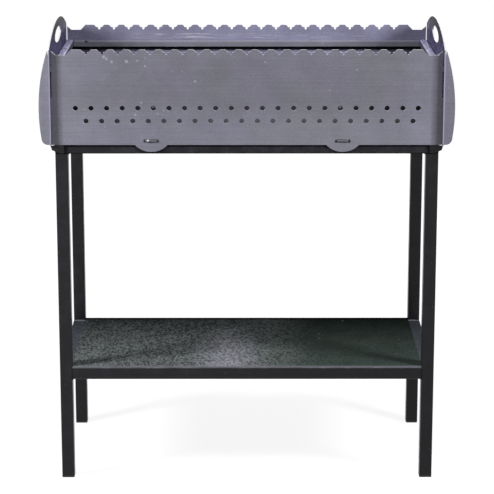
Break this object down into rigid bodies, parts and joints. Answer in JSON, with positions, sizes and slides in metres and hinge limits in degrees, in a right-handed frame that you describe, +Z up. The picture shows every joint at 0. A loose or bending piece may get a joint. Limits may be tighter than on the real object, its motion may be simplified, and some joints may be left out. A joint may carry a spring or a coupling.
{
  "type": "charcoal grill",
  "caption": "Slot-together sheet steel charcoal grill with skewer notches, vent holes and arched hand-hole ends, on a square tube stand with a shelf.",
  "frame": {"origin": "on the floor under the middle of the stand", "axes": "+X along the firebox to the right, -Y to the front, +Z up"},
  "size_m": [0.648, 0.3186, 0.7285],
  "materials": {
    "firebox_steel": "mill finish cold rolled sheet, warm grey with a violet cast, lightly blotched and scratched",
    "stand_paint": "black satin powder coat",
    "foot_caps": "black moulded plastic"
  },
  "bodies": {
    "stand": {"front_left_corner_lug": "stand_paint", "front_left_foot_cap": "foot_caps", "front_left_leg": "stand_paint", "front_right_corner_lug": "stand_paint", "front_right_foot_cap": "foot_caps", "front_right_leg": "stand_paint", "front_shelf_rail": "stand_paint", "front_top_rail": "stand_paint", "left_shelf_rail": "stand_paint", "left_top_rail": "stand_paint", "rear_left_corner_lug": "stand_paint", "rear_left_foot_cap": "foot_caps", "rear_left_leg": "stand_paint", "rear_right_corner_lug": "stand_paint", "rear_right_foot_cap": "foot_caps", "rear_right_leg": "stand_paint", "rear_shelf_rail": "stand_paint", "rear_top_rail": "stand_paint", "right_shelf_rail": "stand_paint", "right_top_rail": "stand_paint", "shelf_plate": "stand_paint"},
    "firebox": {"front_wall": "firebox_steel", "rear_wall": "firebox_steel", "bottom_plate": "firebox_steel", "front_ledge": "firebox_steel", "rear_ledge": "firebox_steel"},
    "left_end": {"left_end_plate": "firebox_steel", "left_ledge": "firebox_steel"},
    "right_end": {"right_end_plate": "firebox_steel", "right_ledge": "firebox_steel"}
  },
  "joints": [
    {"name": "firebox_lift", "type": "slide", "parent": "stand", "child": "firebox", "axis": [0, 0, 1], "range_m": [0, 0.2]},
    {"name": "left_end_lift", "type": "slide", "parent": "firebox", "child": "left_end", "axis": [0, 0, 1], "range_m": [0, 0.16]},
    {"name": "right_end_lift", "type": "slide", "parent": "firebox", "child": "right_end", "axis": [0, 0, 1], "range_m": [0, 0.16]}
  ]
}
